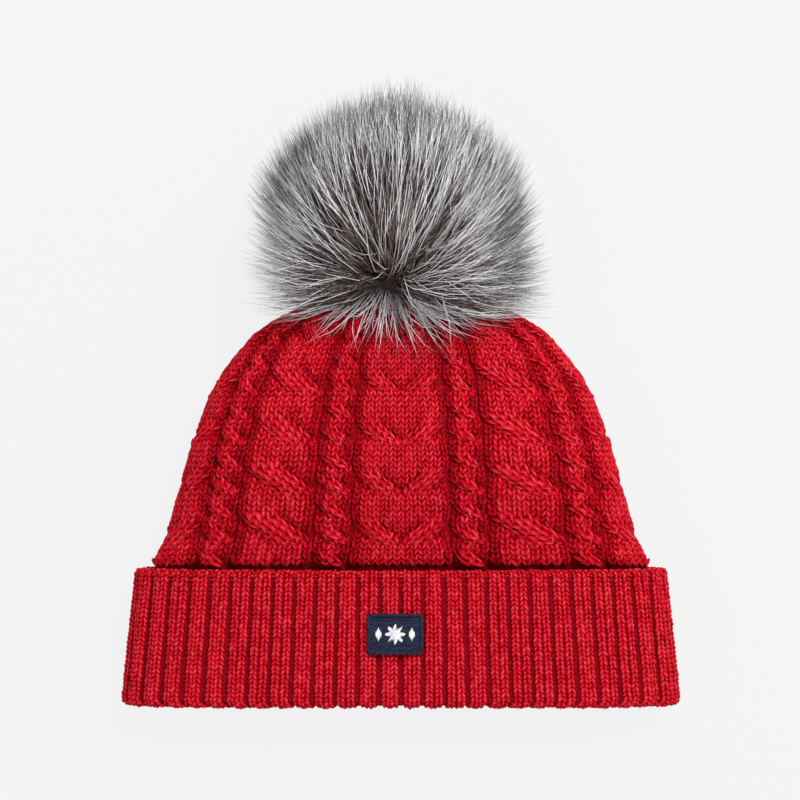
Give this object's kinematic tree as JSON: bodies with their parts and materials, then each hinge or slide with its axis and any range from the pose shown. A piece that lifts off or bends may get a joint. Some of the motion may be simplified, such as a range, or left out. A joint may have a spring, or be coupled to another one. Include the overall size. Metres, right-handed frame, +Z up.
{
  "type": "winter hat",
  "caption": "Cable-knit winter hat with a folded ribbed cuff, a small woven patch and a long-haired fur pompom, laid flat on its back.",
  "frame": {"origin": "under the middle of the whole hat, on the surface that it lies on", "axes": "+Y from the head opening to the pompom, +Z up out of the hat's front, +X to the right as the front is seen from above with the pompom at the top"},
  "size_m": [0.2508, 0.2762, 0.1015],
  "materials": {
    "red_wool_rib": "ribbed worsted knit, matt with soft sheen",
    "red_wool_cable": "cable-knitted worsted yarn, matt with soft sheen",
    "silver_fur": "long silver fur, dark at the roots and pale towards the tips",
    "navy_thread": "dense satin-stitch embroidery",
    "white_thread": "glossy embroidery thread"
  },
  "bodies": {
    "root": {"cuff": "red_wool_rib", "crown": "red_wool_cable", "pompom": "silver_fur", "patch_border": "navy_thread", "patch_ground": "navy_thread", "patch_star": "white_thread", "patch_lozenge_left": "white_thread", "patch_lozenge_right": "white_thread"}
  },
  "joints": []
}
